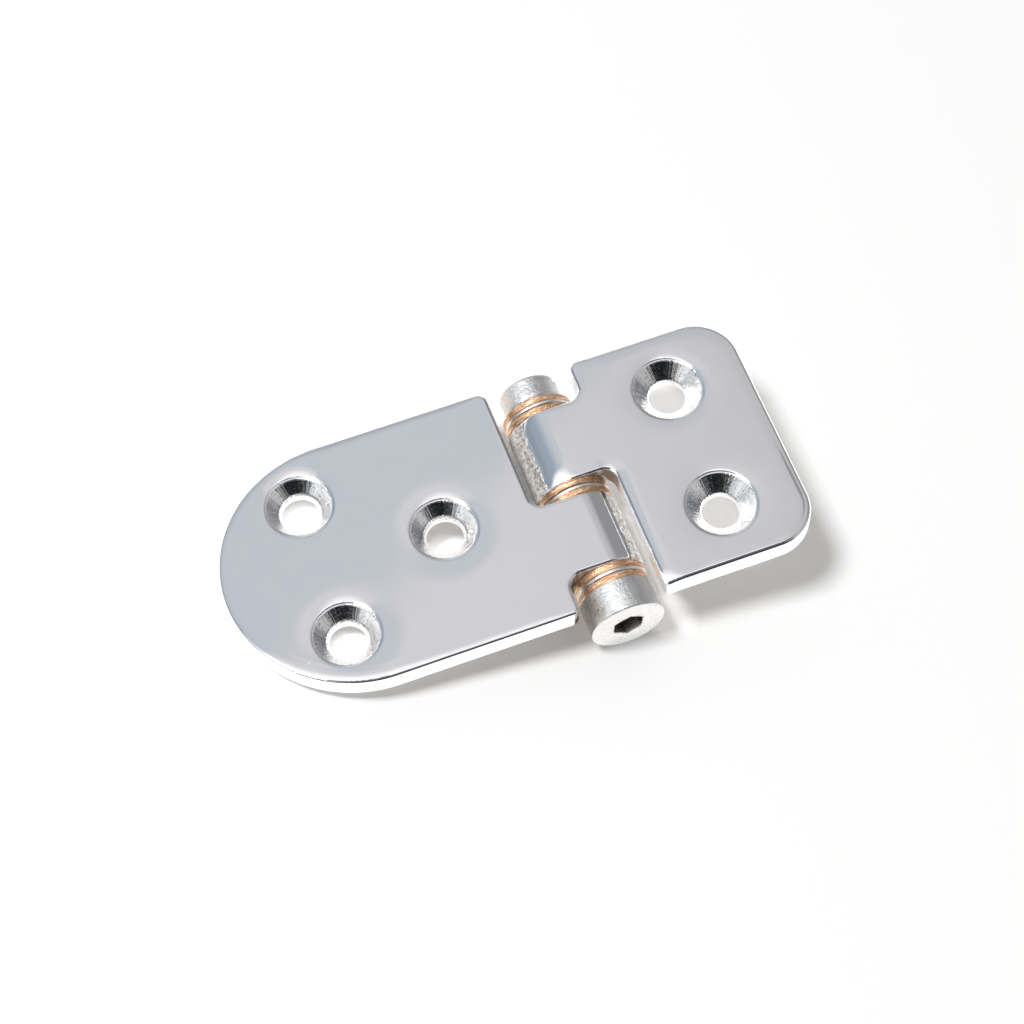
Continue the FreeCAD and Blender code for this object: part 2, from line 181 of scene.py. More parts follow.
def make_casting(name, side, wall, spans, sink, holes, wall_colour, deep_colour, painted_shade, gap_shade):
    """Cast steel, a mirror where it is polished and dull where the mould's skin is left. side is the sign of
    X on which the plate lies, wall the distance of its walls from the pivot, spans the stretches of Y in
    which those walls stand free, and sink the radius of its countersinks. wall_colour and deep_colour are
    the walls high up and low down, where a darker low colour is painted shade. The last two numbers say
    how far the barrel's free side is painted grey above and painted nearly black low down, both painted
    shade."""
    material, tree, shader, place = new_metal(name)
    x, y, z = parts_of(tree, place)
    inward = product_node(tree, x, float(side))
    beside = ramp_node(tree, inward, (wall + 0.5) * mm, (wall + 0.3) * mm)
    flank = ramp_node(tree, inward, 2.0 * mm, 0.0)

    # heights under which the mould's skin is left: under the plate, on the walls beside the barrel, and on
    # the barrel's free flank, where its limit is ragged
    under_plate, on_walls, on_flank = 2.2, 5.15, 1.05
    limit = math_node(tree, "MULTIPLY_ADD", beside, (on_walls - under_plate) * mm, under_plate * mm)
    limit = math_node(tree, "MULTIPLY_ADD", flank, (on_flank - under_plate) * mm, limit)
    wander = noise_node(tree, place, 1100.0, 3.0)
    ragged = product_node(tree, math_node(tree, "MULTIPLY_ADD", wander, 0.8 * mm, -0.4 * mm), flank)
    above = math_node(tree, "SUBTRACT", math_node(tree, "SUBTRACT", z, limit), ragged)
    skin = ramp_node(tree, above, 0.12 * mm, -0.12 * mm)

    # polished metal, with painted shade: a dark line painted along the edges of the free walls, where their
    # rounding mirrors shade, and the barrel's free side painted a darker grey
    cloud = noise_node(tree, place, 260.0, 3.0)
    bright = mix_node(tree, cloud, (0.87, 0.882, 0.90), (0.915, 0.912, 0.915))
    free = 0.0
    for start, end in spans:
        span = product_node(tree, ramp_node(tree, y, start * mm, (start + 0.8) * mm),
                            ramp_node(tree, y, end * mm, (end - 0.8) * mm))
        free = math_node(tree, "ADD", span, free)
    edge = product_node(tree, ramp_node(tree, inward, (wall - 0.1) * mm, wall * mm),
                        ramp_node(tree, inward, (wall + 0.42) * mm, (wall + 0.22) * mm), free, 0.8)
    bright = mix_node(tree, edge, bright, (0.42, 0.44, 0.47))
    painted_grey = product_node(tree, ramp_node(tree, inward, -2.8 * mm, -3.3 * mm), painted_shade)
    bright = mix_node(tree, painted_grey, bright, (0.30, 0.295, 0.295))

    # mould's skin: blotched and pitted and more even under the plate; low on the barrel's free flank it is
    # painted nearly black, as painted shade in the narrow gap
    height, pits = skin_node(tree, place, 2600.0)
    blotch = noise_node(tree, place, 1300.0, 3.0, 0.6)
    dull = mix_node(tree, ramp_node(tree, blotch, 0.62, 0.38), (1.0, 0.975, 0.95), (0.60, 0.56, 0.52))
    dull = mix_node(tree, product_node(tree, pits, 0.6), dull, (0.24, 0.21, 0.18))
    even = mix_node(tree, ramp_node(tree, blotch, 0.66, 0.34), (0.78, 0.77, 0.755), (0.66, 0.65, 0.635))
    flat = product_node(tree, ramp_node(tree, inward, 7.8 * mm, 9.5 * mm), 0.85)
    dull = mix_node(tree, flat, dull, even)
    painted_gap_dark = product_node(tree, ramp_node(tree, z, 3.4 * mm, 0.1 * mm), flank, gap_shade)
    dull = mix_node(tree, painted_gap_dark, dull, (0.04, 0.037, 0.034))

    # walls beside the barrel in the given colours, with a darker low colour as painted shade where one is
    # given, and darker near the middle washers
    standing = product_node(tree, beside, ramp_node(tree, inward, (wall - 2.2) * mm, (wall - 1.6) * mm))
    by_middle_washers = product_node(tree, ramp_node(tree, math_node(tree, "ABSOLUTE", y), 2.4 * mm, 0.9 * mm), 0.8)
    stood = mix_node(tree, ramp_node(tree, z, 4.4 * mm, 3.2 * mm), wall_colour, deep_colour)
    dull = mix_node(tree, standing, dull, mix_node(tree, by_middle_washers, stood, (0.36, 0.325, 0.29)))

    # countersinks, which the polishing wheel doesn't reach, with the cutter's streaks
    reach, way = near_holes(tree, x, y, holes)
    cut = ramp_node(tree, reach, (sink - 0.05) * mm, (sink - 0.25) * mm)
    speck = noise_node(tree, place, 3000.0, 3.0, 0.7)
    streak = noise_node(tree, way, 7.0, 3.0, 0.6)
    worked = mix_node(tree, ramp_node(tree, speck, 0.44, 0.32), (0.96, 0.955, 0.95), (0.34, 0.33, 0.32))
    colour = mix_node(tree, skin, mix_node(tree, cut, bright, worked), dull)
    chalky = product_node(tree, skin, flank, -0.5)
    tree.links.new(math_node(tree, "ADD", chalky, 1.0), shader.inputs["Metallic"])

    # roughness: a faint haze and a few specks of dust on the mirror, and the grain of the mould
    haze = noise_node(tree, place, 5200.0, 2.0)
    dust = ramp_node(tree, noise_node(tree, place, 1500.0, 1.0), 0.77, 0.80)
    polished = math_node(tree, "MULTIPLY_ADD", dust, 0.22, ramp_node(tree, haze, 0.35, 0.8, 0.028, 0.06))
    polished = math_node(tree, "MULTIPLY_ADD", cut, 0.03, polished)
    cast = ramp_node(tree, height, 0.5, 1.2, 0.28, 0.44)
    cast = math_node(tree, "MULTIPLY_ADD", standing, 0.15, cast)
    rough = new_node(tree, "ShaderNodeMix", {"Factor": skin, 2: polished, 3: cast}).outputs[0]

    relief = product_node(tree, height, skin)
    relief = math_node(tree, "MULTIPLY_ADD", product_node(tree, speck, cut), 0.55, relief)
    relief = math_node(tree, "MULTIPLY_ADD", product_node(tree, streak, cut), 1.3, relief)
    relief = math_node(tree, "ADD", relief, product_node(tree, haze, 0.006))
    dress_metal(tree, shader, colour, rough, relief, 0.06 * mm)
    return material


def outline_parts(corners):
    """Corner arcs of a closed outline, which lines join. A corner is (x, y, radius), anticlockwise."""
    arcs = []
    for index, (x, y, radius) in enumerate(corners):
        here = np.array((x, y))
        back = np.array(corners[index - 1][:2]) - here
        ahead = np.array(corners[(index + 1) % len(corners)][:2]) - here
        back = back / np.linalg.norm(back)
        ahead = ahead / np.linalg.norm(ahead)
        half = math.acos(float(back @ ahead)) / 2
        bisector = (back + ahead) / np.linalg.norm(back + ahead)
        reach = radius / math.tan(half)
        convex = ahead[0] * back[1] - ahead[1] * back[0] > 0
        arcs.append((here + back * reach, here + ahead * reach, here + bisector * radius / math.sin(half),
                     radius, -bisector, math.sin(half), convex))
    return arcs


def outline_distance(arcs, x, y):
    """Distance in plan from an outline, negative inside it."""
    x, y = np.broadcast_arrays(x, y)
    nearest = np.full(x.shape, 1e9)
    signed = np.full(x.shape, 1e9)
    for index, (_, end, centre, radius, middle, cosine, convex) in enumerate(arcs):
        across, along = x - centre[0], y - centre[1]
        reach = np.hypot(across, along)
        gap = np.abs(reach - radius)
        within = across * middle[0] + along * middle[1] >= reach * cosine
        closer = within & (gap < nearest)
        nearest = np.where(closer, gap, nearest)
        signed = np.where(closer, (reach - radius) * (1 if convex else -1), signed)
        following = arcs[(index + 1) % len(arcs)][0]
        length = math.hypot(*(following - end))
        if length < 1e-6:
            continue
        way = (following - end) / length
        across, along = x - end[0], y - end[1]
        foot = np.clip(across * way[0] + along * way[1], 0, length)
        gap = np.hypot(across - foot * way[0], along - foot * way[1])
        closer = gap < nearest
        nearest = np.where(closer, gap, nearest)
        inner = way[0] * along - way[1] * across > 0
        signed = np.where(closer, np.where(inner, -gap, gap), signed)
    return signed


def round_meet(first, second, radius):
    """Space inside both of two forms, with their common edge rounded."""
    return (np.minimum(np.maximum(first, second), -radius)
            + np.hypot(np.maximum(first + radius, 0), np.maximum(second + radius, 0)))


def outside_span(place, start, end):
    """Distance of a place from the span between two ends, negative inside it."""
    return np.abs(place - (start + end) / 2) - (end - start) / 2


def fall(distance, width):
    """1 at the edge, 0 from width inwards, and level there."""
    return np.clip(1 - distance / width, 0, 1) ** 2


def soften(share):
    """Smooth step of a share between 0 and 1."""
    return share * share * (3 - 2 * share)


def near_to(x, y, place_x, place_y, reach):
    """1 at a place and 0 from reach outwards, smooth between."""
    return soften(np.clip(1 - np.hypot(x - place_x, y - place_y) / reach, 0, 1))


def ripple(seed, waves, length, x, y):
    """Long soft unevenness of hand polishing, between about -1 and 1."""
    draw = np.random.default_rng(seed)
    total = 0.0
    for _ in range(waves):
        turn = draw.uniform(0, math.tau)
        size = length * draw.uniform(0.7, 1.6)
        phase = draw.uniform(0, math.tau)
        total = total + np.sin((x * math.cos(turn) + y * math.sin(turn)) * math.tau / size + phase)
    return total / math.sqrt(waves)


def new_object(name, data):
    """Object in the scene."""
    piece = bpy.data.objects.new(name, data)
    bpy.context.scene.collection.objects.link(piece)
    return piece


def shade_smooth(mesh):
    mesh.polygons.foreach_set("use_smooth", np.ones(len(mesh.polygons), bool))


def net_of(solid, xs, ys, zs):
    """Points and faces of a closed net of squares round a solid, with one point in each box of the steps
    xs, ys and zs that its surface passes through."""
    field = solid(xs[:, None, None], ys[None, :, None], zs[None, None, :])
    field = np.broadcast_to(field, (len(xs), len(ys), len(zs)))
    inside = field < 0
    shape = tuple(number - 1 for number in field.shape)
    total = np.zeros(shape + (3,))
    count = np.zeros(shape)
    steps = (xs, ys, zs)
    crossings = []
    for axis in range(3):
        low = [slice(None)] * 3
        high = [slice(None)] * 3
        low[axis], high[axis] = slice(0, -1), slice(1, None)
        low, high = tuple(low), tuple(high)
        where = np.nonzero(inside[low] != inside[high])
        first, second = field[low][where], field[high][where]
        share = first / (first - second)
        point = np.stack([steps[a][where[a]] for a in range(3)], axis=1)
        point[:, axis] += share * (steps[axis][where[axis] + 1] - steps[axis][where[axis]])
        others = [a for a in range(3) if a != axis]
        for back in ((0, 0), (1, 0), (0, 1), (1, 1)):
            cell = list(where)
            for other, shift in zip(others, back):
                cell[other] = where[other] - shift
            good = np.all([(cell[a] >= 0) & (cell[a] < shape[a]) for a in range(3)], axis=0)
            cell = tuple(c[good] for c in cell)
            np.add.at(total, cell, point[good])
            np.add.at(count, cell, 1)
        crossings.append((where, first < 0))
    number = np.full(shape, -1)
    active = np.nonzero(count)
    number[active] = np.arange(len(active[0]))
    points = total[active] / count[active][:, None]
    faces = []
    for axis, (where, leaving) in enumerate(crossings):
        second, third = (axis + 1) % 3, (axis + 2) % 3
        ring = []
        for back in ((1, 1), (0, 1), (0, 0), (1, 0)):
            cell = list(where)
            cell[second] = where[second] - back[0]
            cell[third] = where[third] - back[1]
            ring.append(number[tuple(cell)])
        quad = np.stack(ring, axis=1)
        quad[~leaving] = quad[~leaving][:, ::-1]
        faces.append(quad)
    return points, np.concatenate(faces)


def skin_of(name, solid, xs, ys, zs, rims=()):
    """Closed mesh on the surface of a solid, which is a function that gives the distance from its surface,
    negative inside. xs, ys and zs are the steps at which it is looked for. Points near a rim, given as
    (x, y, radius, lowest z), are drawn onto it."""
    points, faces = net_of(solid, xs, ys, zs)
    rounds, rim_round, furthest = 4, 2, 0.15

    def slope(place, step):
        x, y, z = place.T
        return np.stack([solid(x + step, y, z) - solid(x - step, y, z),
                         solid(x, y + step, z) - solid(x, y - step, z),
                         solid(x, y, z + step) - solid(x, y, z - step)], axis=1) / (2 * step)

    for turn in range(rounds):
        for rim_x, rim_y, radius, lowest in rims if turn == rim_round else ():
            across, along = points[:, 0] - rim_x, points[:, 1] - rim_y
            reach = np.maximum(np.hypot(across, along), 0.1)
            close = (np.abs(reach - radius) < furthest) & (points[:, 2] > lowest)
            points[close, 0] = rim_x + (across * radius / reach)[close]
            points[close, 1] = rim_y + (along * radius / reach)[close]
        value = solid(*points.T)
        steepest = slope(points, 0.01)
        move = (value / np.maximum((steepest ** 2).sum(1), 0.2))[:, None] * steepest
        points = points - np.clip(move, -furthest, furthest)
    normals = slope(points, 0.025)
    normals /= np.linalg.norm(normals, axis=1)[:, None]
    mesh = bpy.data.meshes.new(name)
    mesh.vertices.add(len(points))
    mesh.vertices.foreach_set("co", (points * mm).ravel())
    mesh.loops.add(4 * len(faces))
    mesh.loops.foreach_set("vertex_index", faces.ravel())
    mesh.polygons.add(len(faces))
    mesh.polygons.foreach_set("loop_start", np.arange(len(faces)) * 4)
    mesh.update(calc_edges=True)
    mesh.validate()
    shade_smooth(mesh)
    mesh.normals_split_custom_set_from_vertices(normals)
    return new_object(name, mesh)


def make_leaf(name, side, corners, near, far, top_round, sink, throat, holes, facings, rolls, steps, dabs,
              lean):
    """Skin of a cast leaf. side is the sign of X on which its plate lies; near and far are its knuckle's
    ends; throat is the rounding from cone to hole; holes are (x, y, how far the polish dragged its rim);
    facings are the spans beside the knuckle that are cut clear of the washers. The polish has rolled the
    face over towards its edge: rolls are (x, y, reach, width, depth) and steps (x, y, reach, inset, width,
    depth) about a place, dabs (x, y, reach along x, reach along y, depth) lean the face by a place, and
    lean is how far and how deep it falls towards the square leaf's slot."""
    plan = outline_parts(corners)
    # the polish runs on over the knuckle, so its edges there don't count
    barrel_lap, past_barrel = 2.0, 9.0
    polish = outline_parts([(x if abs(x) > barrel_lap else -side * past_barrel, y, r) for x, y, r in corners])

    def sag(x, y):
        """How far the polishing wheel has taken the face down."""
        inward = side * x
        rim = np.maximum(-outline_distance(polish, x, y), 0)
        calm = np.clip((inward + 2.0) / 6.0, 0, 1)
        broad = 0.35 + 0.65 * np.clip((inward - 5.5) / 6.0, 0, 1)
        sunk = 0.0035 * calm * (1 + ripple(7 + side, 7, 15.0, x, y))
        sunk = sunk + 0.010 * calm * fall(rim, 0.8) * (1 + ripple(23 + side, 9, 1.9, x, y))
        for place_x, place_y, spread, width, depth in rolls:
            rolled = fall(rim, width * broad)
            sunk = sunk + depth * near_to(x, y, place_x, place_y, spread) * broad * rolled
        for place_x, place_y, spread, inset, width, depth in steps:
            stepped = soften(np.clip((inset - rim) / width, 0, 1))
            sunk = sunk + depth * near_to(x, y, place_x, place_y, spread) * stepped
        # dished round the holes, and dragged out on the side to which the wheel ran
        drag_x, drag_y = 0.42, 0.91
        for hole_x, hole_y, drag in holes:
            reach = np.hypot(x - hole_x, y - hole_y)
            past = np.maximum(reach - sink, 0)
            onward = ((x - hole_x) * drag_x + (y - hole_y) * drag_y) / np.maximum(reach, 0.1)
            sunk = sunk + 0.055 * fall(past, 4.2) + drag * np.clip(onward, 0, 1) ** 1.5 * fall(past, 1.9)
        for place_x, place_y, reach_x, reach_y, depth in dabs:
            sunk = sunk + depth * near_to(x, 0, place_x, 0, reach_x) * fall(np.abs(y - place_y), reach_y)
        corner_x, corner_y = slot_wall - slot_corner, slot_end - slot_corner
        slot = np.where(y < corner_y, x - slot_wall, np.hypot(x - corner_x, y - corner_y) - slot_corner)
        width, depth = lean
        return sunk + depth * fall(np.maximum(slot, 0), width) * np.clip((x - corner_x) / slot_corner, 0, 1)

    def solid(x, y, z):
        inward = side * x
        high = z + sag(x, y) * np.clip((z + 1.0) / 5.0, 0, 1)
        beside = np.clip((9.0 - inward) / 2.0, 0, 1)
        edge = outline_distance(plan, x, y)
        plate = round_meet(edge, high - leaf_top, top_round + (slot_edge - top_round) * beside)
        plate = round_meet(plate, leaf_underside - z, lower_edge)
        # the knuckle: its barrel, the slab that joins it to the plate, and the fillet under the slab
        ring = np.hypot(x, high) - barrel_radius
        slab_reach, web_start, web_top = 7.3, 4.0, 2.2
        slab = np.maximum(np.maximum(high - leaf_top, leaf_underside - z),
                          np.maximum(-inward, inward - slab_reach))
        web = web_fillet - np.hypot(inward - web_centre, z - (leaf_underside - web_fillet))
        web = np.maximum(np.maximum(web, z - web_top), web_start - inward)
        web = np.maximum(web, np.maximum(inward - web_centre,
                                         (inward * web_fillet - z * web_centre) / web_reach))
        section = np.minimum(ring, np.minimum(slab, web))
        knuckle = round_meet(section, outside_span(y, near, far), knuckle_rim)
        body = np.minimum(plate, knuckle)
        around = np.hypot(x, z)
        for start, end in facings:
            body = np.maximum(body, -np.maximum(around - facing_radius, outside_span(y, start, end)))
        for index, (hole_x, hole_y, _) in enumerate(holes):
            reach = np.hypot(x - hole_x, y - hole_y)
            turn = np.arctan2(y - hole_y, x - hole_x)
            chatter = sum(np.sin(count * turn + phase * (index + 1.7)) * 0.03 / count
                          for count, phase in ((9, 1.1), (16, 2.3), (23, 4.0), (31, 5.2)))
            cone = (reach - sink + chatter + (leaf_top - z)) * cone_cosine
            body = round_meet(body, -cone, cone_edge)
            body = round_meet(body, hole_radius - reach, throat)
        return np.maximum(body, bore_radius - around)

    # steps of the net, finest at the plate's two faces, and shifted off the flat faces of the form
    low_x, high_x = (-52.1, 5.8) if side < 0 else (-5.8, 30.4)
    step = 0.235
    xs = np.arange(low_x, high_x, step) + 0.013
    ys = np.arange(-19.7, 19.8, step) + 0.017
    zs = np.concatenate([np.arange(-5.72, 1.75, 0.27), np.arange(1.79, 2.42, 0.1),
                         np.arange(2.55, 4.5, 0.3), np.arange(4.62, 5.6, 0.1)]) + 0.007
    rims = [(hole_x, hole_y, sink - 0.08, 4.6) for hole_x, hole_y, _ in holes]
    return skin_of(name, solid, xs, ys, zs, rims)


rounded_near, rounded_far, rounded_sink = -13.15, -1.55, 4.85
rounded_holes = [(-37.45, 10.68, 0.15), (-37.45, -10.68, 0.11), (-19.57, 0.0, 0.13)]
rounded_leaf = make_leaf(
    "cast_rounded_leaf", -1,
    [(-51.74, 19, 19), (-51.74, -19, 19), (-6.45, -19, 1.0), (-6.45, rounded_near, 2.4),
     (-1.8, rounded_near, 0.3), (-1.8, rounded_far, 0.3), (-6.85, rounded_far, 2.1), (-6.85, 19, 1.5)],
    rounded_near, rounded_far, top_round=0.34, sink=rounded_sink, throat=0.5, holes=rounded_holes,
    facings=[(-15.75, rounded_near)],
    rolls=[(-26, 0, 1000, 1.4, 0.09), (-42, -17, 20, 1.9, 0.10)],
    steps=[(-44, -14, 18, 2.5, 0.7, 0.012)],
    dabs=[(3.5, rounded_near, 2.0, 1.2, 0.20)], lean=(1.0, 0.0))
# painted shade on the rounded leaf: walls beside the barrel darker, nearly black low down; free flank grey
rounded_leaf.data.materials.append(make_casting(
    "polished_rounded_leaf", -1, wall=6.97, spans=[(-0.9, 18.6)], sink=rounded_sink, holes=rounded_holes,
    wall_colour=(0.58, 0.535, 0.49), deep_colour=(0.11, 0.10, 0.09), painted_shade=1.0, gap_shade=0.12))
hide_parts("rounded_leaf")
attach(rounded_leaf, "rounded_side")

# Square leaf: the moving half, with two large outer corners and two countersunk holes. It is cast in
# stainless steel and polished like the other one, with a softer edge.

square_near, square_far, square_sink = slot_end, 13.1, 5.15
square_holes = [(18.08, 10.04, 0.10), (18.08, -10.04, 0.05)]
square_leaf = make_leaf(
    "cast_square_leaf", 1,
    [(slot_wall, -19.25, 0.7), (30, -19.25, 6.6), (30, 19.25, 6.6), (6.1, 19.25, 1.5), (6.1, square_far, 2.4),
     (1.8, square_far, 0.3), (1.8, square_near, 0.3), (slot_wall, square_near, slot_corner)],
    square_near, square_far, top_round=0.6, sink=square_sink, throat=0.3, holes=square_holes,
    facings=[(rounded_far, square_near), (square_far, 15.7)],
    rolls=[(18, 0, 1000, 2.3, 0.07)],
    steps=[(30, -11, 12, 1.2, 0.35, 0.085)],
    dabs=[(-1.6, square_near, 3.1, 3.4, 0.42), (-3.7, square_far, 2.0, 2.2, 0.42),
          (slot_wall, -19.25, 3.2, 2.8, 0.34)],
    lean=(2.2, 0.19))
# painted shade: the square leaf's barrel is painted nearly black low on its free flank, in the gap
square_leaf.data.materials.append(make_casting(
    "polished_square_leaf", 1, wall=6.1, spans=[(-19.1, 0.3), (13.9, 19.0)], sink=square_sink,
    holes=square_holes, wall_colour=(1.0, 1.0, 0.995), deep_colour=(1.0, 1.0, 0.995), painted_shade=0.0,
    gap_shade=0.95))
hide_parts("square_leaf")
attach(square_leaf, "square_side")

# Pivot screw: a socket screw of tumbled stainless steel, cold headed, with its hex broached and its end
# threaded for the nut. The leaves turn on its plain shank.

head_face, head_seat, head_radius, head_break = -20.75, -15.95, 5.445, 0.32
socket_reach, socket_depth, socket_turn = 2.06, 2.6, 25
shank_radius, thread_start, screw_end, thread_pitch, thread_depth = 2.5, 10.5, 18.4, 0.8, 0.42


def make_steel(name, fine):
    """Tumbled stainless steel: small dents, dark specks and a soft satin. The screw's socket is painted dark,
    and the flanks of head and nut are painted browner, more pitted and darkest at the far left, all painted
    shade. fine is the grain in dents per metre."""
    material, tree, shader, place = new_metal(name)
    x, y, z = parts_of(tree, place)
    reach = distance_node(tree, x, z)
    height, pits = skin_node(tree, place, fine)
    cloud = noise_node(tree, place, 500.0, 2.0)
    light = mix_node(tree, cloud, (0.62, 0.615, 0.607), (0.715, 0.71, 0.70))
    flanks = product_node(tree, ramp_node(tree, reach, 4.0 * mm, 4.2 * mm),
                          ramp_node(tree, y, -20.68 * mm, -20.5 * mm))
    light = mix_node(tree, flanks, light, mix_node(tree, cloud, (0.50, 0.50, 0.50), (0.62, 0.625, 0.63)))
    # painted shade: flanks browner and more pitted on the left, nearly black at the far left
    painted_shade = product_node(tree, ramp_node(tree, x, -2.9 * mm, -3.6 * mm), flanks)
    light = mix_node(tree, painted_shade, light, (0.62, 0.575, 0.53))
    outermost = product_node(tree, ramp_node(tree, x, -4.3 * mm, -5.0 * mm), flanks)
    light = mix_node(tree, outermost, light, (0.22, 0.205, 0.19))
    pitted = product_node(tree, pits, math_node(tree, "MULTIPLY_ADD", painted_shade, 0.4, 0.45))
    light = mix_node(tree, pitted, light, (0.36, 0.33, 0.30))
    # painted shade: the socket is painted dark
    socket_shade = product_node(tree, ramp_node(tree, reach, 2.42 * mm, 2.36 * mm),
                             ramp_node(tree, y, -20.66 * mm, -20.50 * mm),
                             ramp_node(tree, y, -17.0 * mm, -17.2 * mm))
    colour = mix_node(tree, socket_shade, light, (0.27, 0.25, 0.235))
    satin = ramp_node(tree, height, 0.5, 1.2, 0.24, 0.36)
    satin = math_node(tree, "MULTIPLY_ADD", flanks, 0.20, satin)
    dents = product_node(tree, math_node(tree, "SUBTRACT", height, 0.9),
                         math_node(tree, "MULTIPLY_ADD", flanks, 1.3, 0.8))
    dress_metal(tree, shader, colour, satin, dents, 0.05 * mm)
    return material


def ring_skin(name, rings, turn):
    """Closed mesh through a row of rings about the pivot, with points at the angles in turn. A ring is
    (place along the pivot, radius), where the radius may be an array round the turn; the first and last
    rings close in a point on the axis."""
    steps = len(turn)
    points, faces = [], []
    for place, radius in rings:
        places = np.broadcast_to(place, turn.shape)
        points.append(np.stack([radius * np.cos(turn), places, radius * np.sin(turn)], axis=1))
    for row in range(len(rings) - 1):
        for here in range(steps):
            ahead = (here + 1) % steps
            faces.append((row * steps + here, row * steps + ahead,
                          (row + 1) * steps + ahead, (row + 1) * steps + here))
    points.append(np.array([(0, rings[0][0], 0), (0, rings[-1][0], 0)]))
    points = np.concatenate(points)
    first, last, base = len(points) - 2, len(points) - 1, (len(rings) - 1) * steps
    for here in range(steps):
        ahead = (here + 1) % steps
        faces.append((first, ahead, here))
        faces.append((last, base + here, base + ahead))
    mesh = bpy.data.meshes.new(name)
    mesh.from_pydata([tuple(p) for p in points * mm], [], faces)
    mesh.update()
    shade_smooth(mesh)
    mesh.set_sharp_from_angle(angle=math.radians(32))
    return new_object(name, mesh)


def thread_wave(place, turn):
    """Height of a thread's flanks along the pivot and round the turn, from 0 to 1."""
    return np.abs(((place / thread_pitch - turn / math.tau) % 1.0) - 0.5) * 2


def make_screw():
    turn = np.arange(120) * math.tau / 120
    across_hexagon = (turn - math.radians(socket_turn)) % (math.pi / 3) - math.pi / 6
    hexagon = socket_reach / np.cos(across_hexagon)
    floor_place = head_face + socket_depth
    # the drill's point, the socket's wall and its broken rim
    rings = [(floor_place + 0.4, hexagon * 0.02), (floor_place, hexagon * 0.93),
             (floor_place - 0.05, hexagon), (head_face + 0.22, hexagon), (head_face + 0.08, hexagon + 0.07),
             (head_face, hexagon + 0.20)]
    rings += [(head_face, 3.2), (head_face, 4.2), (head_face, 5.02)]
    for angle in range(0, 91, 15):
        bend = math.radians(angle)
        rings.append((head_face + head_break * (1 - math.cos(bend)),
                      head_radius - head_break + head_break * math.sin(bend)))
    rings += [(place, head_radius) for place in np.arange(head_face + 0.6, head_seat - 0.2, 0.35)]
    rings += [(head_seat - 0.12, head_radius), (head_seat, 5.33), (head_seat, 2.7), (head_seat, shank_radius),
              (thread_start - 0.1, shank_radius)]
    for place in np.arange(thread_start, screw_end - 0.45, 0.1):
        entry = min(1.0, (place - thread_start) / thread_pitch)
        groove = thread_depth * entry * np.clip(1.2 * thread_wave(place, turn) - 0.1, 0, 1)
        rings.append((place, shank_radius - groove))
    rings += [(screw_end - 0.4, 2.08), (screw_end - 0.1, 1.9), (screw_end, 1.75), (screw_end, 0.3)]
    return ring_skin("socket_pivot_screw", rings, turn)


steel = make_steel("tumbled_stainless", 2900.0)
pivot_screw = make_screw()
pivot_screw.data.materials.append(steel)
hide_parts("pivot_screw")
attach(pivot_screw, "rounded_side")

# Round nut: turned steel, with a driver slot across its outer face, screwed up against the last washers to
# set how stiffly the hinge moves.

nut_radius, nut_seat, nut_face, nut_seat_round, nut_face_round = 4.3, 15.7, 19.9, 1.3, 0.4
driver_slot_width, driver_slot_depth, driver_slot_turn = 1.4, 1.3, math.radians(20)


def nut_solid(x, y, z):
    around = np.hypot(x, z)
    body = round_meet(around - nut_radius, y - nut_face, nut_face_round)
    body = round_meet(body, nut_seat - y, nut_seat_round)
    across = np.abs(-x * math.sin(driver_slot_turn) + z * math.cos(driver_slot_turn)) - driver_slot_width / 2
    body = round_meet(body, -np.maximum(across, nut_face - driver_slot_depth - y), 0.1)
    thread = 0.32 * np.clip(1.1 * thread_wave(y, np.arctan2(z, x)) - 0.05, 0, 1)
    return np.maximum(body, bore_radius + thread - around)


nut_steps = np.arange(-4.6, 4.61, 0.14)
round_nut = skin_of("slotted_round_nut", nut_solid, nut_steps, np.arange(15.5, 20.15, 0.13), nut_steps)
round_nut.data.materials.append(steel)
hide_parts("round_nut")
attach(round_nut, "rounded_side")

# Washer packs: a bronze washer, a coned disc spring and a bronze washer in each of the three gaps between
# head, knuckles and nut. They are stamped from strip, so each edge has a bright band and a torn one.

ring_bore, washer_radius, spring_radius, spring_cone, spring_height = 2.6, 5.3, 5.23, 0.10, 0.6


def make_bronze():
    """Phosphor bronze strip: bright sheared band, darker torn band, and brown tarnish in between."""
    material, tree, shader, place = new_metal("phosphor_bronze")
    streak = noise_node(tree, place, 1500.0, 3.0, 0.6, (0.35, 1.9, 0.35))
    tarnish = noise_node(tree, place, 420.0, 3.0, 0.6)
    fine = noise_node(tree, place, 3800.0, 3.0, 0.6)
    colour = mix_node(tree, ramp_node(tree, streak, 0.42, 0.64), (0.58, 0.34, 0.20), (0.98, 0.69, 0.47))
    colour = mix_node(tree, ramp_node(tree, tarnish, 0.55, 0.8, 0.0, 0.55), colour, (0.60, 0.33, 0.18))
    colour = mix_node(tree, ramp_node(tree, fine, 0.50, 0.36, 0.0, 0.75), colour, (0.40, 0.22, 0.125))
    grain = math_node(tree, "MULTIPLY_ADD", streak, 1.4, fine)
    dress_metal(tree, shader, colour, ramp_node(tree, streak, 0.3, 0.7, 0.52, 0.40), grain, 0.09 * mm)
    return material


def make_spring_steel():
    """Rolled spring steel, cloudy, with a fine grain."""
    material, tree, shader, place = new_metal("spring_steel_strip")
    cloud = noise_node(tree, place, 700.0, 3.0)
    colour = mix_node(tree, ramp_node(tree, cloud, 0.35, 0.7), (0.70, 0.69, 0.67), (0.88, 0.87, 0.85))
    fine = noise_node(tree, place, 6000.0, 2.0)
    dress_metal(tree, shader, colour, ramp_node(tree, fine, 0.3, 0.7, 0.34, 0.46), fine, 0.03 * mm)
    return material


